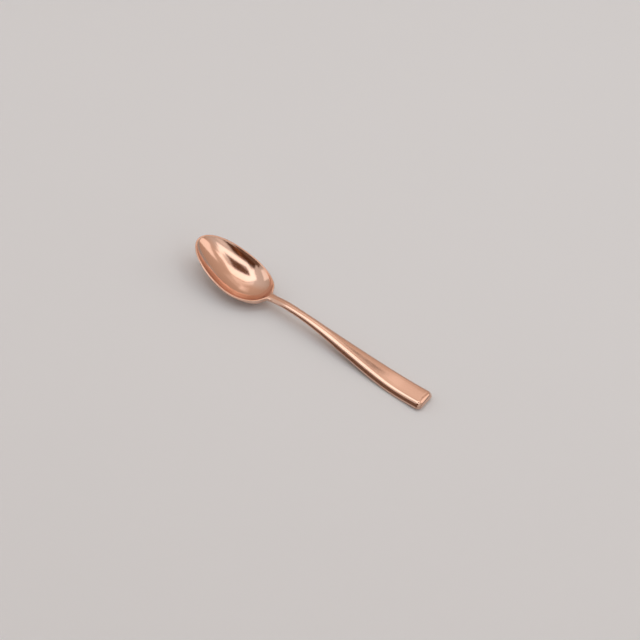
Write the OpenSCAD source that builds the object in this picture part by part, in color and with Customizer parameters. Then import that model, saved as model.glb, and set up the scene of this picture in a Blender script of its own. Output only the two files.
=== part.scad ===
// Dessert spoon with a hollow handle: a stamped bowl and neck, two welded handle shells and their filler
// X runs from the bowl's tip to the handle's end, Z is up, and the spoon rests on z = 0
// Places along the spoon are measured from the bowl's tip unless their name says otherwise

/* [Bowl] */
// Length of the bowl from its tip to its heel
bowl_l = 59; // [54:0.5:66]
// Width of the bowl at its widest
bowl_w = 38.5; // [34:0.5:44]
// Distance from the tip to the widest place
bowl_widest = 34; // [29:0.5:38]
// How full the outline is towards the tip, 2 being an ellipse
tip_fullness = 2; // [1.8:0.05:2.4]
// How full the outline is towards the heel, 2 being an ellipse
heel_fullness = 1.95; // [1.8:0.05:2.4]
// Depth of the hollow below the rim
bowl_depth = 8.8; // [6.5:0.1:10]
// Distance from the tip to the deepest place
deepest_at = 37; // [31:0.5:41]
// How full the hollow is along and across the bowl, from 1 for a parabola to 0.5 for an ellipse
hollow_fullness = 0.8; // [0.65:0.05:1]
// Wall of the bowl at its widest place
bowl_wall = 1.3; // [1:0.1:2]
// Width of the flat rim
rim_w = 1.1; // [0.7:0.1:1.6]
// Thickness of the rim's outer edge round the front of the bowl
rim_t = 0.8; // [0.5:0.1:1.2]
// Length in front of the heel over which the rim's edge thickens to the neck's thickness
edge_l = 13; // [9:0.5:18]
// Height of the rim at the tip above the rim's lowest place
tip_rise = 10.9; // [5:0.1:12]
// Fall of the rim at the tip, in degrees
tip_fall = 12.5; // [8:0.5:24]
// Distance from the tip to the rim's lowest place
rim_low_at = 51; // [46:0.5:53]
// Length over which the bowl's section turns into the neck's section
heel_blend = 8; // [6:0.5:10]

/* [Neck] */
// Length of the neck from the heel to the handle shells
neck_l = 53; // [46:1:60]
// Width of the neck at its narrowest
neck_w = 6.7; // [5.8:0.1:8]
// Thickness of the neck at the heel
neck_t = 3; // [2.6:0.1:3.6]
// Height of the neck's highest place above the table
crest_z = 11.9; // [10:0.1:15]
// Distance from the heel to the neck's highest place
crest_from_heel = 14; // [10:0.5:22]

/* [Handle] */
// Length of the handle shells
handle_l = 68; // [56:1:84]
// Width of the handle's broad part
handle_w = 17.6; // [15:0.1:20]
// Thickness of the handle's broad part
handle_t = 4.8; // [4.4:0.1:6]
// Distance from the heel to where the stem starts to widen
flare_from_heel = 20; // [14:1:26]
// Length over which the stem widens
flare_l = 86; // [70:1:92]
// Distance from the heel to where the stem starts to thicken
swell_from_heel = 4; // [0:1:8]
// Length over which the stem thickens
swell_l = 84; // [74:1:104]
// Distance from the handle's end to where it rests on the table
dip_from_end = 20; // [14:1:32]
// Height of the handle's underside at its end
end_lift = 1.1; // [0.5:0.1:3]
// Upward turn of the handle at its end, in degrees
end_turn = 5.5; // [2:0.5:8]
// Rise of the top face above its edges, at the middle of the handle's broad part
crown = 0.2; // [0.05:0.05:0.4]
// Width of the stem's rounded upper sides
side_w = 4; // [3.2:0.1:4.6]
// Angle on the upper sides' rounding at which it starts, in degrees, 0 being upright at the seam
side_lean = 24; // [10:1:32]
// Height of the stem's foot, which is the part of its section below the seam
foot_h = 1.4; // [1.2:0.05:1.6]
// Width of the foot's rounded edges
foot_w = 1.2; // [1.1:0.05:1.6]
// Rounding of the handle's end corners, seen from above
end_r = 3.6; // [2.4:0.1:4.5]
// Length of the rounding of the handle's end, seen from the side
nose_l = 4; // [3:0.1:5.5]
// Wall of the pressed handle shells
shell_wall = 0.8; // [0.6:0.05:0.85]

/* [Inside] */
// Length of the tang inside the handle
tang_l = 28; // [16:1:40]
// Width of the tang
tang_w = 5; // [4:0.1:5.6]
// Filler above and below the tang at the mouth of the handle
filler_t = 0.35; // [0.25:0.05:0.5]
// Clearance between the tang and the filler
tang_gap = 0.08; // [0.05:0.01:0.12]
// Clearance between the filler and the handle shells
core_gap = 0.08; // [0.05:0.01:0.12]

/* [Hidden] */

// Facets round each rounded edge, across each flat face, and across the upper or lower part of a section
corner_n = 6;
flat_n = 6;
across_n = 2 * corner_n + flat_n;
// Sections along half the bowl, the neck, the handle and the handle's rounded end
bowl_n = 18;
neck_n = 20;
handle_n = 24;
end_n = 7;
// Sections along the tang
tang_n = 8;
// Places at which the bowl's lowest point is looked for
probe_n = 100;

// Angle of the first section at the tip, where the outline would come to a point
tip_angle = 1;
// Least share of the top that the hollow's points spread over, where the hollow closes
hollow_share = 0.6;
// Share of the tang's half width that its upper edges are rounded over
tang_round = 0.6;
// Sharpness of the corner between the bowl's outline and the neck
corner_sharpness = 6;
// Least rounding of an inner edge as a share of the lower edge's, and the most that a rounding takes
least_share = 0.1;
most_share = 0.9;
least_r = least_share * foot_w;

join_at = bowl_l + neck_l;
spoon_l = join_at + handle_l;
crest_at = bowl_l + crest_from_heel;
dip_at = spoon_l - dip_from_end;
flare_from = bowl_l + flare_from_heel;
flare_to = flare_from + flare_l;
swell_from = bowl_l + swell_from_heel;
swell_to = swell_from + swell_l;

polished = [0.86, 0.62, 0.52];
filler = [0.55, 0.50, 0.45];

// Curve between two places, each given as place, height and slope
function between(x, a, b) =
    let (l = b[0] - a[0], s = (x - a[0]) / l, r = 1 - s)
    a[1] * (1 + 2 * s) * r * r + b[1] * s * s * (3 - 2 * s) + l * (a[2] * s * r * r - b[2] * s * s * r);

// Share of the way from a to b
function share(x, a, b) = min(max((x - a) / (b - a), 0), 1);

// Smooth step from 0 at a to 1 at b, and its slope
function ramp(x, a, b) = let (s = share(x, a, b)) s * s * (3 - 2 * s);
function ramp_slope(x, a, b) = let (s = share(x, a, b)) 6 * s * (1 - s) / (b - a);

// Width and thickness of the stem, which is the neck and the handle together
function stem_w(x) = neck_w + (handle_w - neck_w) * ramp(x, flare_from, flare_to);
function stem_t(x) = neck_t + (handle_t - neck_t) * ramp(x, swell_from, swell_to);

// Half width of an egg-shaped outline that lies inset from the bowl's outline
function egg(x, inset) =
    let (
        front = x < bowl_widest,
        u = front ? share(x, bowl_widest, inset) : share(x, bowl_widest, bowl_l - inset),
        p = front ? tip_fullness : heel_fullness
    )
    (bowl_w / 2 - inset) * pow(1 - pow(u, p), 1 / p);

// Depth of the hollow below the rim along the bowl's middle
function depth(x) =
    let (u = share(x, deepest_at, x < deepest_at ? rim_w : bowl_l - rim_w))
    bowl_depth * pow(1 - u * u, hollow_fullness);

// Wall under the bowl's middle, from the rim's edge at the tip to the neck at the heel
function wall(x) =
    rim_t + (bowl_wall - rim_t) * ramp(x, 0, bowl_widest)
    + (neck_t - bowl_wall) * ramp(x, bowl_widest, bowl_l);

// Thickness of the rim's outer edge
function edge_t(x) = rim_t + (neck_t - rim_t) * ramp(x, bowl_l - edge_l, bowl_l);

// Height of the rim above its lowest place
function rise(x) = x < rim_low_at ? between(x, [0, tip_rise, -tan(tip_fall)], [rim_low_at, 0, 0]) : 0;

// Height of the rim's lowest place, at which the bowl's underside just touches the table
rim_low_z = max([for (i = [0 : probe_n]) let (x = bowl_l * i / probe_n) depth(x) + wall(x) - rise(x)]);

// Height of the top edge all along the spoon: the rim, then the neck, then the handle above its underside
low = [rim_low_at, rim_low_z, 0];
crest = [crest_at, crest_z, (handle_t - neck_t) * ramp_slope(crest_at, swell_from, swell_to)];
crest_under = [crest_at, crest_z - stem_t(crest_at), 0];
dip = [dip_at, 0, 0];
end_under = [spoon_l, end_lift, tan(end_turn)];
function top_z(x) =
    x < rim_low_at ? rim_low_z + rise(x)
    : x < crest_at ? between(x, low, crest)
    : stem_t(x) + (x < dip_at ? between(x, crest_under, dip) : between(x, dip, end_under));

// Half width of the outline all along the spoon
function half_width(x) =
    let (n = corner_sharpness, stem = stem_w(x) / 2 * ramp(x, bowl_widest, bowl_l - heel_blend))
    pow(pow(egg(x, 0), n) + pow(stem, n), 1 / n);

// Height share of a rounding at the share u of its width, from 0 at its inner edge to 1 at its foot
function rounded(u, lean) = (sqrt(max(0, 1 - pow(u * cos(lean), 2))) - sin(lean)) / (1 - sin(lean));

// Share of the full height that is left at the distance e from an end with a rounding of length l
function left_at(e, l, lean) = 1 - (e < l ? most_share * (1 - rounded(1 - e / l, lean)) : 0);

// Part of a section above or below its seam, from left to right, with roundings that start at the angle lean
function half_section(half_w, height, round_w, lean, seam_z, side, rise_z) =
    let (
        w = max(least_r, min(round_w, most_share * half_w)),
        flat = half_w - w,
        turns = [for (i = [0 : corner_n]) lean + (90 - lean) * i / corner_n],
        shares = [for (a = turns) cos(a) / cos(lean)],
        corner = [for (u = shares) [flat + w * u, seam_z + side * height * rounded(u, lean)]]
    )
    concat(
        [for (c = corner) [-c[0], c[1]]],
        [for (i = [1 : flat_n - 1]) let (v = 2 * i / flat_n - 1)
            [flat * v, seam_z + side * (height + rise_z * (1 - v * v))]],
        [for (i = [corner_n : -1 : 0]) corner[i]]
    );

// Places a section's points at x along the spoon
function at(x, points) = [for (p = points) [x - spoon_l / 2, p[0], p[1]]];

// Part of the stem's section above or below its seam, drawn in all over by inset
function stem_half(x, inset, side) =
    let (
        e = spoon_l - inset - x,
        full = (side > 0 ? stem_t(x) - foot_h : foot_h) - inset,
        end_l = max(least_r, (side > 0 ? nose_l : foot_w) - inset),
        lean = side > 0 ? side_lean : 0,
        left = left_at(e, end_l, lean),
        corner_r = end_r - inset,
        half_w = stem_w(x) / 2 - inset - (e < corner_r ? corner_r * (1 - rounded(1 - e / corner_r, 0)) : 0),
        round_w = (side > 0 ? side_w : foot_w) - inset,
        rise_z = side > 0 ? crown * stem_w(x) / handle_w * left : 0
    )
    at(x, half_section(half_w, full * left, round_w, lean, top_z(x) - stem_t(x) + foot_h, side, rise_z));

// Closes an upper and a lower half into one ring
function ring_of(upper, lower) = concat(upper, [for (i = [len(lower) - 2 : -1 : 1]) lower[i]]);
function stem_ring(x, inset) = ring_of(stem_half(x, inset, 1), stem_half(x, inset, -1));

// Section of the bowl: the rim, the hollow between its edges, and the underside
function bowl_ring(x) =
    let (
        half = half_width(x),
        top = top_z(x),
        inside = x < bowl_l - rim_w && x > rim_w ? egg(x, rim_w) : 0,
        edge = max(inside, hollow_share * half),
        belly = depth(x) + wall(x) - edge_t(x),
        steps = across_n - 2
    )
    at(x, concat(
        [[-half, top]],
        [for (i = [0 : steps]) let (y = edge * (2 * i / steps - 1))
            [y, top - (inside > 0 ? depth(x) * pow(max(0, 1 - pow(y / inside, 2)), hollow_fullness) : 0)]],
        [[half, top]],
        [for (i = [0 : steps]) let (v = 1 - 2 * i / steps)
            [half * v, top - edge_t(x) - belly * pow(1 - v * v, hollow_fullness)]]
    ));

// Section of the bowl and neck, which turns from one to the other across the heel
function front_ring(x) =
    let (k = ramp(x, bowl_l - heel_blend / 2, bowl_l + heel_blend / 2))
    k == 0 ? bowl_ring(x) : k == 1 ? stem_ring(x, 0) : (1 - k) * bowl_ring(x) + k * stem_ring(x, 0);

// Section of the tang, which leaves room for the filler at the handle's mouth, or of its pocket with a gap
mouth_inset = shell_wall + core_gap + filler_t + tang_gap;
tang_half_t = stem_t(join_at) / 2 - mouth_inset;
function tang_ring(x, gap) =
    let (w = tang_w / 2 + gap, t = tang_half_t + gap, middle_z = top_z(x) - stem_t(x) / 2)
    ring_of(
        at(x, half_section(w, t, tang_round * w, 0, middle_z, 1, 0)),
        at(x, half_section(w, t, least_r, 0, middle_z, -1, 0))
    );

// Places of the sections along each piece
bowl_places = concat(
    [for (i = [0 : bowl_n]) bowl_widest * (1 - cos(tip_angle + (90 - tip_angle) * i / bowl_n))],
    [for (i = [1 : bowl_n]) bowl_widest + (bowl_l - bowl_widest) * sin(90 * i / bowl_n)]
);
neck_places = [for (i = [1 : neck_n]) bowl_l + neck_l * i / neck_n];
round_l = max(end_r, nose_l);
function handle_places(from, inset) = concat(
    [for (i = [0 : handle_n]) from + (spoon_l - round_l - from) * i / handle_n],
    [for (i = [1 : end_n]) spoon_l - inset - (round_l - inset) * (1 - sin(90 * i / end_n))]
);
function tang_places(gap) = [for (i = [0 : tang_n]) join_at + (tang_l + gap) * i / tang_n];

// Closing faces of a ring of n points that starts at point first: a fan, or a strip between its two parts
function fan(n, first) = [for (k = [1 : n - 2]) [first, first + k, first + k + 1]];
function strip(n, first) = [
    for (k = [0 : n / 2 - 1]) let (a = first + k, b = first + n - k)
        each [if (k > 0) [a, b - 1, b], if (k < n / 2 - 1) [a, a + 1, b - 1]]
];
function turned(faces) = [for (f = faces) [f[0], f[2], f[1]]];

// Two triangles across four points
function quad(a, b, c, d) = [[a, b, c], [a, c, d]];

// Solid through a row of rings, closed at both ends
module loft(rings, flat_start) {
    n = len(rings[0]);
    last = n * (len(rings) - 1);
    sides = [
        for (i = [0 : len(rings) - 2], k = [0 : n - 1])
            let (a = n * i + k, b = n * i + (k + 1) % n) each quad(a, b, b + n, a + n)
    ];
    start = turned(flat_start ? strip(n, 0) : fan(n, 0));
    polyhedron(points = [for (r = rings) each r], faces = concat(sides, start, fan(n, last)));
}

// One pressed half of the handle: side is 1 for the upper half and -1 for the lower half
module half_shell(side) {
    outer = [for (x = handle_places(join_at, 0)) stem_half(x, 0, side)];
    inner = [for (x = handle_places(join_at, shell_wall)) stem_half(x, shell_wall, side)];
    n = across_n + 1;
    m = n - 1;
    s = len(outer) - 1;
    half = n * len(outer);
    skin = [
        for (i = [0 : s - 1], j = [0 : m - 1])
            let (a = n * i + j) each quad(a, a + 1, a + 1 + n, a + n)
    ];
    lining = [for (f = turned(skin)) [half + f[0], half + f[1], half + f[2]]];
    mouth = [for (j = [0 : m - 1]) each quad(j, half + j, half + j + 1, j + 1)];
    seam = [
        for (i = [0 : s - 1]) let (a = n * i, b = n * i + m)
            each concat(quad(a, a + n, half + a + n, half + a), quad(half + b, half + b + n, b + n, b))
    ];
    end_seam = quad(half + n * s, n * s, n * s + m, half + n * s + m);
    ends = concat(fan(n, n * s), turned(fan(n, half + n * s)));
    faces = concat(skin, lining, mouth, seam, end_seam, ends);
    polyhedron(
        points = concat([for (r = outer) each r], [for (r = inner) each r]),
        faces = side > 0 ? faces : turned(faces)
    );
}

module bowl_and_neck() {
    color(polished)
    loft(concat(
        [for (x = concat(bowl_places, neck_places)) front_ring(x)],
        [for (x = tang_places(0)) tang_ring(x, 0)]
    ), true);
}

module upper_handle_shell() {
    color(polished)
    half_shell(1);
}

module lower_handle_shell() {
    color(polished)
    half_shell(-1);
}

// Set filler that fills the handle's cavity, with a pocket for the tang
module handle_core() {
    inset = shell_wall + core_gap;
    pocket = tang_places(tang_gap);
    color(filler)
    loft(concat(
        [for (i = [tang_n : -1 : 1]) tang_ring(pocket[i], tang_gap)],
        [tang_ring(join_at + core_gap, tang_gap)],
        [for (x = handle_places(join_at + core_gap, inset)) stem_ring(x, inset)]
    ), false);
}

bowl_and_neck();
upper_handle_shell();
lower_handle_shell();
handle_core();
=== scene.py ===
# Dessert spoon in polished rose-gold metal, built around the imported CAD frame
import math

import bmesh
import bpy
import numpy as np
from mathutils import Matrix, Vector


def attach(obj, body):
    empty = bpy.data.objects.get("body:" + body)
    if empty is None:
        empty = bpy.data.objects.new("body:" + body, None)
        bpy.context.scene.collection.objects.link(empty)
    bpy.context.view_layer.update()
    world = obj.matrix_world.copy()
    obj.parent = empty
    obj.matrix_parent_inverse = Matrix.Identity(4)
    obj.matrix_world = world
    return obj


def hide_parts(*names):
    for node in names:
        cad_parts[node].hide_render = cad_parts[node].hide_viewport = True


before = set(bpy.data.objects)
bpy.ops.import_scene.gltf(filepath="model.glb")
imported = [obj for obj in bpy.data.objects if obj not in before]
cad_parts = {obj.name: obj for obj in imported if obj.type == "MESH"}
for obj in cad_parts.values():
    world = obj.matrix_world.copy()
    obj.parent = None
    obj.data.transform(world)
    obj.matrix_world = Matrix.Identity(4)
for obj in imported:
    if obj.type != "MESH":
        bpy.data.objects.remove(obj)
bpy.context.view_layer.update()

MM = 0.001

# Sizes of the spoon in millimetres, and the values that shape its curves, as in the part
# Places along it are measured from the bowl's tip unless their name says otherwise
BOWL_L = 59.0
BOWL_W = 38.5
BOWL_WIDEST = 34.0
TIP_FULLNESS = 2.0
HEEL_FULLNESS = 1.95
BOWL_DEPTH = 8.8
DEEPEST_AT = 37.0
HOLLOW_FULLNESS = 0.8
BOWL_WALL = 1.3
RIM_W = 1.1
RIM_T = 0.8
EDGE_L = 13.0
TIP_RISE = 10.9
TIP_FALL = math.radians(12.5)
RIM_LOW_AT = 51.0
HEEL_BLEND = 8.0
NECK_L = 53.0
NECK_W = 6.7
NECK_T = 3.0
CREST_Z = 11.9
CREST_FROM_HEEL = 14.0
HANDLE_L = 68.0
HANDLE_W = 17.6
HANDLE_T = 4.8
FLARE_FROM_HEEL = 20.0
FLARE_L = 86.0
SWELL_FROM_HEEL = 4.0
SWELL_L = 84.0
DIP_FROM_END = 20.0
END_LIFT = 1.1
END_TURN = math.radians(5.5)
CROWN = 0.2
SIDE_W = 4.0
SIDE_LEAN = math.radians(24)
FOOT_H = 1.4
FOOT_W = 1.2
END_R = 3.6
NOSE_L = 4.0
SHELL_WALL = 0.8
TANG_L = 28.0
TANG_W = 5.0
TANG_ROUND = 0.6
FILLER_T = 0.35
TANG_GAP = 0.08
CORE_GAP = 0.08
CORNER_SHARPNESS = 6
HOLLOW_SHARE = 0.6
LEAST_R = 0.12
MOST_SHARE = 0.9

JOIN_AT = BOWL_L + NECK_L
SPOON_L = JOIN_AT + HANDLE_L
CREST_AT = BOWL_L + CREST_FROM_HEEL
DIP_AT = SPOON_L - DIP_FROM_END
FLARE_FROM = BOWL_L + FLARE_FROM_HEEL
FLARE_TO = FLARE_FROM + FLARE_L
SWELL_FROM = BOWL_L + SWELL_FROM_HEEL
SWELL_TO = SWELL_FROM + SWELL_L
ROUND_L = max(END_R, NOSE_L)

# Points on the rim from its outer to its inner edge: share of the way across, and drop below its top
RIM_PROFILE = (
    (0.0, 0.42), (0.02, 0.24), (0.09, 0.09), (0.24, 0.01),
    (0.5, 0.0), (0.76, 0.01), (0.91, 0.05), (1.0, 0.16),
)
# Share of the way across from which the drops are scaled down, so that the inner edge drops no more than
# a share of what the hollow drops at its first point
RIM_MIDDLE = 0.5
INNER_SHARE = 0.6
# Points across the hollow, and across the underside of the bowl
TOP_N = 45
UNDER_N = 47
# Points round each rounded side of the stem and across its flat face, above and below its seam
SIDE_N = 21
UPPER_FLAT_N = 2 * len(RIM_PROFILE) + TOP_N - 2 * SIDE_N
FOOT_N = 13
LOWER_FLAT_N = UNDER_N + 2 - 2 * FOOT_N
# Sections along the bowl, the neck, the tang, the handle and its rounded end
BOWL_RINGS = 110
NECK_RINGS = 90
TANG_RINGS = 6
HANDLE_RINGS = 90
END_RINGS = 18
# Places along the bowl at which its lowest point is looked for
LOWEST_N = 101
# Distance in metres under which points are one, and the angle from which an edge shades as sharp
WELD_DISTANCE = 1e-7
SHARP_ANGLE = math.radians(38)


def between(x, a, b):
    """Curve between two places, each given as place, height and slope."""
    length = b[0] - a[0]
    s = (x - a[0]) / length
    r = 1 - s
    heights = a[1] * (1 + 2 * s) * r * r + b[1] * s * s * (3 - 2 * s)
    slopes = length * (a[2] * s * r * r - b[2] * s * s * r)
    return heights + slopes


def share(x, a, b):
    return min(max((x - a) / (b - a), 0.0), 1.0)


def ramp(x, a, b):
    s = share(x, a, b)
    return s * s * (3 - 2 * s)


def ramp_slope(x, a, b):
    s = share(x, a, b)
    return 6 * s * (1 - s) / (b - a)


def stem_w(x):
    return NECK_W + (HANDLE_W - NECK_W) * ramp(x, FLARE_FROM, FLARE_TO)


def stem_t(x):
    return NECK_T + (HANDLE_T - NECK_T) * ramp(x, SWELL_FROM, SWELL_TO)


def egg(x, inset):
    """Half width of an egg-shaped outline that lies inset from the bowl's outline."""
    front = x < BOWL_WIDEST
    u = share(x, BOWL_WIDEST, inset if front else BOWL_L - inset)
    p = TIP_FULLNESS if front else HEEL_FULLNESS
    return (BOWL_W / 2 - inset) * (1 - u**p) ** (1 / p)


def depth(x):
    u = share(x, DEEPEST_AT, RIM_W if x < DEEPEST_AT else BOWL_L - RIM_W)
    return BOWL_DEPTH * (1 - u * u) ** HOLLOW_FULLNESS


def wall(x):
    front = (BOWL_WALL - RIM_T) * ramp(x, 0, BOWL_WIDEST)
    return RIM_T + front + (NECK_T - BOWL_WALL) * ramp(x, BOWL_WIDEST, BOWL_L)


def edge_t(x):
    return RIM_T + (NECK_T - RIM_T) * ramp(x, BOWL_L - EDGE_L, BOWL_L)


def rise(x):
    return between(x, (0, TIP_RISE, -math.tan(TIP_FALL)), (RIM_LOW_AT, 0, 0)) if x < RIM_LOW_AT else 0.0


RIM_LOW_Z = max(depth(x) + wall(x) - rise(x) for x in np.linspace(0, BOWL_L, LOWEST_N))
CREST_SLOPE = (HANDLE_T - NECK_T) * ramp_slope(CREST_AT, SWELL_FROM, SWELL_TO)


def top_z(x):
    """Height of the top edge all along the spoon."""
    if x < RIM_LOW_AT:
        return RIM_LOW_Z + rise(x)
    if x < CREST_AT:
        return between(x, (RIM_LOW_AT, RIM_LOW_Z, 0), (CREST_AT, CREST_Z, CREST_SLOPE))
    if x < DIP_AT:
        return stem_t(x) + between(x, (CREST_AT, CREST_Z - stem_t(CREST_AT), 0), (DIP_AT, 0, 0))
    return stem_t(x) + between(x, (DIP_AT, 0, 0), (SPOON_L, END_LIFT, math.tan(END_TURN)))


def half_width(x):
    n = CORNER_SHARPNESS
    stem = stem_w(x) / 2 * ramp(x, BOWL_WIDEST, BOWL_L - HEEL_BLEND)
    return (egg(x, 0) ** n + stem**n) ** (1 / n)


def rounded(u, lean):
    """Height share of a rounding at the share u of its width, from 0 at its inner edge to 1 at its foot."""
    return (math.sqrt(max(0.0, 1 - (u * math.cos(lean)) ** 2)) - math.sin(lean)) / (1 - math.sin(lean))


def left_at(e, length, lean):
    """Share of the full height that is left at the distance e from an end with a rounding that long."""
    return 1 - MOST_SHARE * (1 - rounded(1 - e / length, lean)) if e < length else 1.0


def half_section(x, half_w, height, round_w, lean, seam_z, side, rise_z):
    """Part of a section at x above or below its seam, from left to right, in the row frame."""
    side_n, flat_n = (SIDE_N, UPPER_FLAT_N) if side > 0 else (FOOT_N, LOWER_FLAT_N)
    w = max(LEAST_R, min(round_w, MOST_SHARE * half_w))
    flat = half_w - w
    corner = []
    for i in range(side_n):
        u = math.cos(lean + (math.pi / 2 - lean) * i / (side_n - 1)) / math.cos(lean)
        corner.append((flat + w * u, seam_z + side * height * rounded(u, lean)))
    across = []
    for i in range(flat_n):
        v = 2 * (i + 1) / (flat_n + 1) - 1
        across.append((flat * v, seam_z + side * (height + rise_z * (1 - v * v))))
    points = [(-y, z) for y, z in corner] + across + corner[::-1]
    return [(x - SPOON_L / 2, y, z) for y, z in points]


def stem_half(x, inset, side):
    """Part of the stem's section above or below its seam, drawn in all over by inset."""
    e = SPOON_L - inset - x
    full = (stem_t(x) - FOOT_H if side > 0 else FOOT_H) - inset
    end_l = max(LEAST_R, (NOSE_L if side > 0 else FOOT_W) - inset)
    lean = SIDE_LEAN if side > 0 else 0.0
    left = left_at(e, end_l, lean)
    corner_r = END_R - inset
    drawn_in = corner_r * (1 - rounded(1 - e / corner_r, 0.0)) if e < corner_r else 0.0
    half_w = stem_w(x) / 2 - inset - drawn_in
    round_w = (SIDE_W if side > 0 else FOOT_W) - inset
    rise_z = CROWN * stem_w(x) / HANDLE_W * left if side > 0 else 0.0
    seam_z = top_z(x) - stem_t(x) + FOOT_H
    return half_section(x, half_w, full * left, round_w, lean, seam_z, side, rise_z)


def ring_of(upper, lower):
    """Closes an upper and a lower part into one ring, which holds the seam's points once."""
    return np.array(upper + lower[-2:0:-1])


def stem_ring(x):
    return ring_of(stem_half(x, 0, 1), stem_half(x, 0, -1))


def tang_ring(x):
    half_w = TANG_W / 2
    half_t = stem_t(JOIN_AT) / 2 - (SHELL_WALL + CORE_GAP + FILLER_T + TANG_GAP)
    middle_z = top_z(x) - stem_t(x) / 2
    upper = half_section(x, half_w, half_t, TANG_ROUND * half_w, 0.0, middle_z, 1, 0)
    lower = half_section(x, half_w, half_t, LEAST_R, 0.0, middle_z, -1, 0)
    return ring_of(upper, lower)


def bowl_ring(outer_x, inner_x):
    """Rim, hollow and underside of the bowl, cut at inner_x on the hollow and at outer_x elsewhere."""
    half = half_width(outer_x)
    hollow_end = BOWL_L - RIM_W
    if inner_x < hollow_end:
        inside = egg(inner_x, RIM_W)
        deep = depth(inner_x)
    else:
        inside = HOLLOW_SHARE * half * share(outer_x, hollow_end, BOWL_L)
        deep = 0.0
    first_v = math.cos(math.pi / (TOP_N + 1))
    first_drop = deep * (1 - first_v * first_v) ** HOLLOW_FULLNESS
    soft = min(1.0, INNER_SHARE * first_drop / RIM_PROFILE[-1][1])
    rim = []
    for s, drop in RIM_PROFILE:
        x = outer_x + (inner_x - outer_x) * s
        y = half + (inside - half) * s
        rim.append((x, y, top_z(x) - drop * (1 if s < RIM_MIDDLE else soft)))
    left = [(x, -y, z) for x, y, z in rim]
    right = list(reversed(rim))
    hollow = []
    for i in range(TOP_N):
        v = math.sin(0.5 * math.pi * (2 * (i + 1) / (TOP_N + 1) - 1))
        hollow.append((inner_x, inside * v, top_z(inner_x) - deep * (1 - v * v) ** HOLLOW_FULLNESS))
    belly = depth(outer_x) + wall(outer_x) - edge_t(outer_x)
    under = []
    for i in range(UNDER_N):
        v = math.sin(0.5 * math.pi * (1 - 2 * i / (UNDER_N - 1)))
        z = top_z(outer_x) - edge_t(outer_x) - belly * max(0.0, 1 - v * v) ** HOLLOW_FULLNESS
        under.append((outer_x, half * v, z))
    ring = np.array(left + hollow + right + under)
    ring[:, 0] -= SPOON_L / 2
    return ring


def front_ring(outer_x, inner_x):
    """Section of the bowl and neck, which turns from one to the other across the heel."""
    k = ramp(outer_x, BOWL_L - HEEL_BLEND / 2, BOWL_L + HEEL_BLEND / 2)
    if k == 1:
        return stem_ring(outer_x)
    ring = bowl_ring(outer_x, inner_x)
    return ring if k == 0 else (1 - k) * ring + k * stem_ring(outer_x)


def along_outline(theta, inset):
    """Place on an egg outline: theta runs from 0 at the tip to pi at the heel."""
    c = math.cos(theta)
    return BOWL_WIDEST - c * (BOWL_WIDEST - inset if c > 0 else BOWL_L - inset - BOWL_WIDEST)


def mesh_object(name, points, faces):
    """A closed smooth mesh, with its flat faces kept flat by sharp edges."""
    mesh = bpy.data.meshes.new(name)
    mesh.from_pydata([tuple(p * MM) for p in np.asarray(points)], [], faces)
    bm = bmesh.new()
    bm.from_mesh(mesh)
    bmesh.ops.remove_doubles(bm, verts=bm.verts, dist=WELD_DISTANCE)
    bmesh.ops.dissolve_degenerate(bm, edges=bm.edges, dist=WELD_DISTANCE)
    bmesh.ops.recalc_face_normals(bm, faces=bm.faces)
    bm.to_mesh(mesh)
    bm.free()
    mesh.shade_smooth()
    mesh.set_sharp_from_angle(angle=SHARP_ANGLE)
    obj = bpy.data.objects.new(name, mesh)
    bpy.context.scene.collection.objects.link(obj)
    return obj


def lofted(name, rings):
    """A solid through closed rings of equal length: the first is folded flat, and the last is capped."""
    n = len(rings[0])
    faces = []
    for i in range(len(rings) - 1):
        for k in range(n):
            a, b = n * i + k, n * i + (k + 1) % n
            faces.append((a, b, b + n, a + n))
    last = n * (len(rings) - 1)
    faces.append(tuple(range(last, last + n)))
    return mesh_object(name, np.concatenate(rings), faces)


def half_shell(name, side):
    """One pressed half of the handle, with its wall: side is 1 for the upper half and -1 for the lower."""
    def places(inset):
        straight = SPOON_L - ROUND_L - JOIN_AT
        body = [JOIN_AT + straight * i / HANDLE_RINGS for i in range(HANDLE_RINGS + 1)]
        turn = [0.5 * math.pi * (i + 1) / END_RINGS for i in range(END_RINGS)]
        return body + [SPOON_L - inset - (ROUND_L - inset) * (1 - math.sin(a)) for a in turn]

    outer = [stem_half(x, 0, side) for x in places(0)]
    inner = [stem_half(x, SHELL_WALL, side) for x in places(SHELL_WALL)]
    n, rows = len(outer[0]), len(outer)
    half = n * rows
    m, end = n - 1, n * (rows - 1)
    faces = []
    for i in range(rows - 1):
        for j in range(m):
            a = n * i + j
            faces.append((a, a + 1, a + 1 + n, a + n))
            faces.append((half + a, half + a + n, half + a + n + 1, half + a + 1))
        a, b = n * i, n * i + m
        faces.append((a, a + n, half + a + n, half + a))
        faces.append((b, half + b, half + b + n, b + n))
    for j in range(m):
        faces.append((j, half + j, half + j + 1, j + 1))
    faces.append((end, end + m, half + end + m, half + end))
    faces.append(tuple(range(end, end + n)))
    faces.append(tuple(range(half + end + n - 1, half + end - 1, -1)))
    points = [p for row in outer for p in row] + [p for row in inner for p in row]
    return mesh_object(name, points, faces)


# Camera at the photograph's viewing angle
CAMERA_AZIMUTH = math.radians(22.04)
CAMERA_ELEVATION = math.radians(44.613)
CAMERA_ROLL = math.radians(-16.032)
CAMERA_DISTANCE = 1.21003
CAMERA_TARGET = Vector((0.003459, 0.006401, 0.008))
CAMERA_LENS = 107.47
CAMERA_SENSOR = 36


def direction(azimuth, elevation):
    """Unit direction from the spoon: azimuth 0 is its near long side, and 90 degrees its handle's end."""
    flat = math.cos(elevation)
    return Vector((math.sin(azimuth) * flat, -math.cos(azimuth) * flat, math.sin(elevation)))


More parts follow.
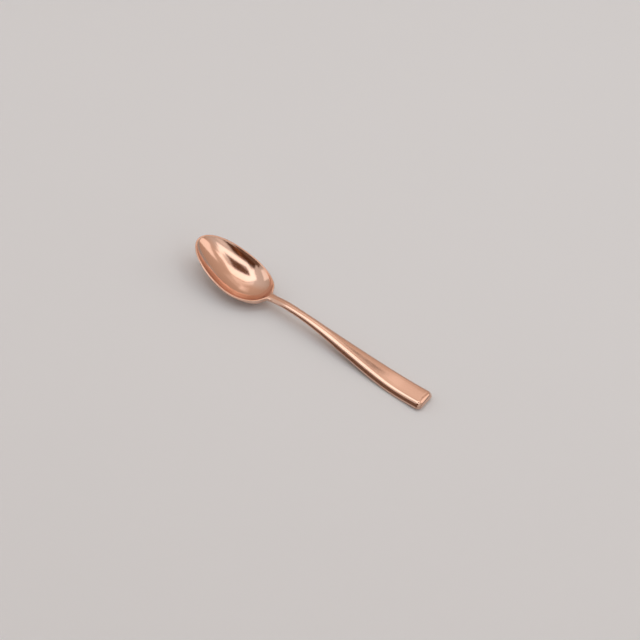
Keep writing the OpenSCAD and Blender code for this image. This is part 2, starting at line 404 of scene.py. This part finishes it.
def make_camera():
    back = direction(CAMERA_AZIMUTH, CAMERA_ELEVATION)
    level = Vector((math.cos(CAMERA_AZIMUTH), math.sin(CAMERA_AZIMUTH), 0))
    upright = back.cross(level)
    c, s = math.cos(CAMERA_ROLL), math.sin(CAMERA_ROLL)
    right = c * level - s * upright
    up = s * level + c * upright
    data = bpy.data.cameras.new("photo_camera")
    data.lens = CAMERA_LENS
    data.sensor_width = CAMERA_SENSOR
    camera = bpy.data.objects.new("photo_camera", data)
    turn = Matrix((right, up, back)).transposed().to_4x4()
    camera.matrix_world = Matrix.Translation(CAMERA_TARGET + CAMERA_DISTANCE * back) @ turn
    bpy.context.scene.collection.objects.link(camera)
    bpy.context.scene.camera = camera


# Materials: pairs are the two ends of a range of colour, roughness or noise
METAL_TINTS = ((0.748, 0.486, 0.376, 1), (0.772, 0.520, 0.412, 1))
HAZE_ROUGHNESS = (0.105, 0.14)
LINE_ROUGHNESS = (0.0, 0.03)
LINE_STRETCH = (60, 2600, 2600)
RESIN_TINTS = ((0.20, 0.17, 0.14, 1), (0.38, 0.33, 0.28, 1))
RESIN_ROUGHNESS = (0.62, 0.82)
NOISE_RANGE = (0.3, 0.7)
LINE_RANGE = (0.35, 0.75)
# Matt paints of the studio: how dark their mottle gets, their gloss, and their roughness
MOTTLE_SHADE = 0.985
PAINT_GLOSS = 0.1
FLOOR_ROUGHNESS = 0.65
CARD_ROUGHNESS = 0.9


def node_material(name):
    material = bpy.data.materials.new(name)
    material.use_nodes = True
    tree = material.node_tree
    return material, tree, tree.nodes["Principled BSDF"]


def add(tree, kind, **values):
    """Adds a node, with values for its sockets or its settings."""
    node = tree.nodes.new(kind)
    for key, value in values.items():
        if key in node.inputs:
            node.inputs[key].default_value = value
        else:
            setattr(node, key, value)
    return node


def noise(tree, place, scale, detail):
    node = add(tree, "ShaderNodeTexNoise", Scale=scale, Detail=detail)
    tree.links.new(place, node.inputs["Vector"])
    return node.outputs["Fac"]


def blend(tree, value, colors, end=1.0):
    """Colour that turns from the first to the second as the value goes from 0 to end."""
    node = add(tree, "ShaderNodeValToRGB")
    first, second = node.color_ramp.elements
    first.color, second.color = colors
    second.position = end
    tree.links.new(value, node.inputs["Fac"])
    return node.outputs["Color"]


def spread(tree, value, source, target):
    """Value taken from the range source to the range target."""
    node = add(tree, "ShaderNodeMapRange")
    for key, number in zip(("From Min", "From Max", "To Min", "To Max"), source + target):
        node.inputs[key].default_value = number
    tree.links.new(value, node.inputs["Value"])
    return node.outputs["Result"]


def add_bump(tree, shader, height, strength, distance):
    node = add(tree, "ShaderNodeBump", Strength=strength, Distance=distance)
    tree.links.new(height, node.inputs["Height"])
    tree.links.new(node.outputs["Normal"], shader.inputs["Normal"])


def rose_gold():
    """Polished rose-gold metal with a faint haze and fine polishing lines along the spoon."""
    material, tree, shader = node_material("rose_gold_metal")
    link = tree.links.new
    place = add(tree, "ShaderNodeTexCoord").outputs["Object"]
    stretch = add(tree, "ShaderNodeMapping", Scale=LINE_STRETCH)
    link(place, stretch.inputs["Vector"])
    mottle = noise(tree, place, scale=38.0, detail=3.0)
    haze = noise(tree, place, scale=75.0, detail=5.0)
    lines = noise(tree, stretch.outputs["Vector"], scale=1.0, detail=4.0)
    rough = add(tree, "ShaderNodeMath", operation="ADD")
    link(spread(tree, haze, NOISE_RANGE, HAZE_ROUGHNESS), rough.inputs[0])
    link(spread(tree, lines, LINE_RANGE, LINE_ROUGHNESS), rough.inputs[1])
    link(blend(tree, mottle, METAL_TINTS), shader.inputs["Base Color"])
    link(rough.outputs["Value"], shader.inputs["Roughness"])
    shader.inputs["Metallic"].default_value = 1.0
    add_bump(tree, shader, lines, strength=0.035, distance=0.0001)
    return material


def set_resin():
    """Grainy set resin that fills the handle."""
    material, tree, shader = node_material("set_resin")
    place = add(tree, "ShaderNodeTexCoord").outputs["Object"]
    grain = noise(tree, place, scale=900.0, detail=6.0)
    tree.links.new(blend(tree, grain, RESIN_TINTS), shader.inputs["Base Color"])
    tree.links.new(spread(tree, grain, NOISE_RANGE, RESIN_ROUGHNESS), shader.inputs["Roughness"])
    add_bump(tree, shader, grain, strength=0.3, distance=0.0002)
    return material


def plain_paint(name, color, roughness):
    """Matt paint with a very faint mottle, for the floor, the backdrop and the cards."""
    material, tree, shader = node_material(name)
    place = add(tree, "ShaderNodeTexCoord").outputs["Object"]
    mottle = noise(tree, place, scale=6.0, detail=2.0)
    shaded = tuple(MOTTLE_SHADE * c for c in color)
    tree.links.new(blend(tree, mottle, (shaded + (1,), color + (1,))), shader.inputs["Base Color"])
    shader.inputs["Roughness"].default_value = roughness
    shader.inputs["Specular IOR Level"].default_value = PAINT_GLOSS
    return material


# Studio, in metres
BOWL_CENTRE = Vector((-0.060, 0.004, 0.006))
FLOOR_HALF = 5.0
BACKDROP_H = 1.4
FLOOR_COLOR = (0.79, 0.83, 0.87)
HORIZON_COLOR = (0.49, 0.43, 0.38, 1)
ZENITH_COLOR = (0.79, 0.76, 0.74, 1)
NEAR_TINT = (1, 1, 1, 1)
FAR_TINT = (0.94, 0.77, 0.66, 1)
FULL_TINT_AT = 0.35
# Overhead frame of strip lamps round a dark card: its direction and distance, and the turn of its long side
FRAME_AZIMUTH = math.radians(77)
FRAME_ELEVATION = math.radians(74.7)
FRAME_DISTANCE = 1.1
FRAME_TURN = math.radians(41.5)
# Strips of the frame: name, from and to along its long and then its short side, and radiance
FRAME_STRIPS = (
    ("near_strip", -0.47, 0.42, -0.38, -0.17, 0.98),
    ("far_strip", -0.78, 0.51, 0.15, 0.48, 0.98),
    ("left_strip", -0.70, -0.32, -0.17, 0.15, 0.98),
    ("left_corner_strip", -0.32, -0.17, -0.16, -0.05, 0.30),
    ("right_strip", 0.40, 0.49, -0.17, 0.02, 0.98),
    ("right_far_strip", 0.40, 0.60, 0.02, 0.15, 0.98),
    ("right_near_strip", 0.30, 0.40, -0.17, -0.07, 0.98),
    ("right_inner_strip", 0.24, 0.40, -0.07, 0.15, 0.08),
    ("glow_strip", -0.50, 0.52, 0.54, 0.66, 0.40),
    ("outer_glow_strip", -0.50, 0.52, 0.66, 0.82, 0.22),
)
# Dark card just above the strips: from and to along the frame's long and then its short side
HOLE_CARD = (-0.32, 0.24, -0.16, 0.15)
HOLE_CARD_GAP = 0.01
HOLE_COLOR = (0.22, 0.08, 0.027)
# Side lamps: name, azimuth and elevation in degrees, distance, width, height, and radiance
SIDE_LAMPS = (
    ("right_softbox", 130.5, 30.5, 1.3, 0.50, 0.70, 0.68),
    ("left_softbox", -53, 25, 1.3, 0.75, 0.67, 0.52),
    ("back_panel", -166, 47, 1.3, 0.30, 0.36, 0.16),
    ("back_glow", -162, 48, 1.3, 0.50, 0.56, 0.14),
    ("far_glow", 177, 49, 2.0, 0.80, 0.62, 0.14),
    ("fill_panel", 63, 41, 1.3, 0.30, 0.40, 0.20),
)
# Cards behind the camera: name, azimuth in degrees, distance, width, heights of foot and top, and colour
CARDS = (
    ("dark_curtain", 18, 1.2, 1.41, 0.81, 2.01, (0.16, 0.062, 0.02)),
    # The fold card is the dark curtain's colour made lighter: painted light, a flat card standing for the
    # lit side of a fold
    ("curtain_fold_painted_lit", 28.5, 1.19, 0.17, 0.81, 2.0, (0.42, 0.18, 0.075)),
    ("low_screen", 0, 1.1, 1.06, 0.0, 0.97, (0.28, 0.195, 0.147)),
)
# Dark flag beyond the spoon, edge on to the bowl, so that only the handle mirrors it
FLAG_X = -0.0545
FLAG_NEAR = 0.66
FLAG_FAR = 1.0
FLAG_LOW = math.radians(47.5)
FLAG_HIGH = math.radians(59)
FLAG_COLOR = (0.08, 0.04, 0.02)


def stage_plane(name, corners, material):
    mesh = bpy.data.meshes.new(name)
    mesh.from_pydata([tuple(c) for c in corners], [], [(0, 1, 2, 3)])
    mesh.materials.append(material)
    obj = bpy.data.objects.new(name, mesh)
    bpy.context.scene.collection.objects.link(obj)
    return obj


def reflection_card(name, corners, color):
    """A matt card that the camera sees only in reflections."""
    card = stage_plane(name, corners, plain_paint(name + "_paint", color, CARD_ROUGHNESS))
    card.visible_camera = False


def area_lamp(name, place, x_axis, z_axis, width, height, radiance):
    """A rectangular softbox that shines against its z axis."""
    data = bpy.data.lights.new(name, "AREA")
    data.shape = "RECTANGLE"
    data.size = width
    data.size_y = height
    data.energy = radiance * math.pi * width * height
    lamp = bpy.data.objects.new(name, data)
    y_axis = z_axis.cross(x_axis)
    turn = Matrix((x_axis, y_axis, z_axis)).transposed().to_4x4()
    lamp.matrix_world = Matrix.Translation(place) @ turn
    bpy.context.scene.collection.objects.link(lamp)


def overhead_frame():
    away = direction(FRAME_AZIMUTH, FRAME_ELEVATION)
    long_side = Vector((math.cos(FRAME_TURN), math.sin(FRAME_TURN), 0))
    long_side = (long_side - long_side.dot(away) * away).normalized()
    short_side = away.cross(long_side)
    middle = BOWL_CENTRE + FRAME_DISTANCE * away
    for name, a0, a1, b0, b1, radiance in FRAME_STRIPS:
        place = middle + (a0 + a1) / 2 * long_side + (b0 + b1) / 2 * short_side
        area_lamp(name, place, long_side, away, a1 - a0, b1 - b0, radiance)
    above = middle + HOLE_CARD_GAP * away
    a0, a1, b0, b1 = HOLE_CARD
    places = ((a0, b0), (a1, b0), (a1, b1), (a0, b1))
    corners = [above + a * long_side + b * short_side for a, b in places]
    reflection_card("hole_card", corners, HOLE_COLOR)


def side_lamp(name, azimuth, elevation, distance, width, height, radiance):
    away = direction(math.radians(azimuth), math.radians(elevation))
    level = Vector((0, 0, 1)).cross(away).normalized()
    area_lamp(name, BOWL_CENTRE + distance * away, level, away, width, height, radiance)


def standing_card(name, azimuth, distance, width, foot, top, color):
    away = direction(math.radians(azimuth), 0)
    side = width / 2 * Vector((-away.y, away.x, 0))
    low = distance * away + Vector((0, 0, foot))
    high = distance * away + Vector((0, 0, top))
    reflection_card(name, (low - side, low + side, high + side, high - side), color)


def edge_flag():
    places = ((FLAG_NEAR, FLAG_LOW), (FLAG_FAR, FLAG_LOW), (FLAG_FAR, FLAG_HIGH), (FLAG_NEAR, FLAG_HIGH))
    corners = [(FLAG_X, y, y * math.tan(elevation)) for y, elevation in places]
    reflection_card("gap_flag", corners, FLAG_COLOR)


def make_world():
    """Even room light, a little darker towards the horizon and warmer on the far side."""
    world = bpy.data.worlds.new("studio_world")
    world.use_nodes = True
    tree = world.node_tree
    link = tree.links.new
    place = add(tree, "ShaderNodeTexCoord")
    parts = add(tree, "ShaderNodeSeparateXYZ")
    link(place.outputs["Generated"], parts.inputs["Vector"])
    both = add(tree, "ShaderNodeVectorMath", operation="MULTIPLY")
    link(blend(tree, parts.outputs["Z"], (HORIZON_COLOR, ZENITH_COLOR)), both.inputs[0])
    link(blend(tree, parts.outputs["Y"], (NEAR_TINT, FAR_TINT), end=FULL_TINT_AT), both.inputs[1])
    link(both.outputs["Vector"], tree.nodes["Background"].inputs["Color"])
    bpy.context.scene.world = world


def make_studio():
    h = FLOOR_HALF
    pale = plain_paint("pale_floor", FLOOR_COLOR, FLOOR_ROUGHNESS)
    stage_plane("floor", ((-h, -h, 0), (h, -h, 0), (h, h, 0), (-h, h, 0)), pale)
    walls = (("near", -h, -h, h, -h), ("right", h, -h, h, h), ("far", h, h, -h, h), ("left", -h, h, -h, -h))
    for name, x0, y0, x1, y1 in walls:
        corners = ((x0, y0, 0), (x1, y1, 0), (x1, y1, BACKDROP_H), (x0, y0, BACKDROP_H))
        stage_plane(name + "_backdrop", corners, pale)
    overhead_frame()
    for lamp in SIDE_LAMPS:
        side_lamp(*lamp)
    for card in CARDS:
        standing_card(*card)
    edge_flag()
    make_world()


# The scene: the camera and the studio, then the pieces
make_camera()
make_studio()

metal = rose_gold()
thetas = [math.pi * i / BOWL_RINGS for i in range(BOWL_RINGS + 1)]
rings = [front_ring(along_outline(t, 0), along_outline(t, RIM_W)) for t in thetas]
neck_places = [BOWL_L + NECK_L * (i + 1) / NECK_RINGS for i in range(NECK_RINGS)]
rings += [front_ring(x, x) for x in neck_places]
rings += [tang_ring(JOIN_AT + TANG_L * i / TANG_RINGS) for i in range(TANG_RINGS + 1)]
bowl = lofted("bowl_and_neck_polished", rings)
upper = half_shell("upper_handle_polished", 1)
lower = half_shell("lower_handle_polished", -1)
for piece, node in ((bowl, "bowl_and_neck"), (upper, "upper_handle_shell"), (lower, "lower_handle_shell")):
    piece.data.materials.append(metal)
    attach(piece, "root")
    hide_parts(node)

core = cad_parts["handle_core"]
core.data.materials.clear()
core.data.materials.append(set_resin())

bpy.context.scene.view_settings.view_transform = "Standard"
